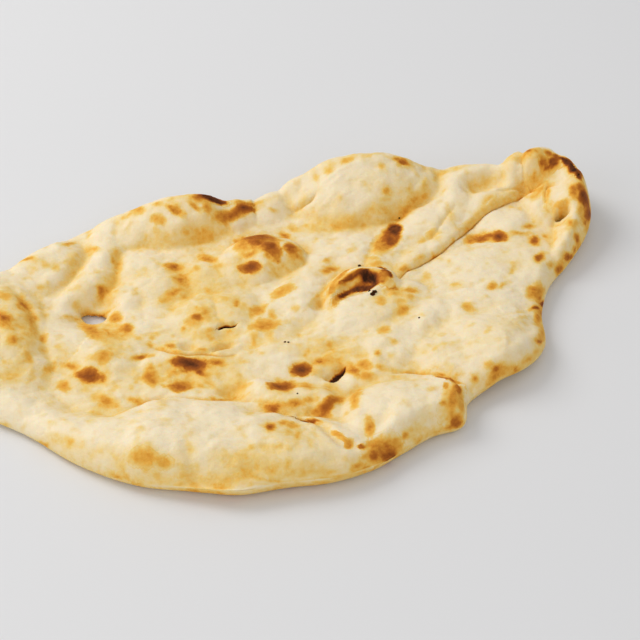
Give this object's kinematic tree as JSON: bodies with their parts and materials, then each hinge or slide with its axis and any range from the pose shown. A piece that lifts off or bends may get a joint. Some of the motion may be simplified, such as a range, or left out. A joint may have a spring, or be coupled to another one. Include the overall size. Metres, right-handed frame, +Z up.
{
  "type": "naan bread",
  "caption": "Large hand-stretched teardrop naan flatbread with puffed rim, gas bubbles and browned patches, lying flat.",
  "frame": {"origin": "middle of the bread's box at the height of the surface it lies on", "axes": "+X along the bread to its narrow tip, +Y across it to the side with the biggest bubble, +Z up, browned side up"},
  "size_m": [0.4419, 0.2739, 0.0433],
  "materials": {
    "crust": null
  },
  "bodies": {
    "root": {"naan": "crust"}
  },
  "joints": []
}
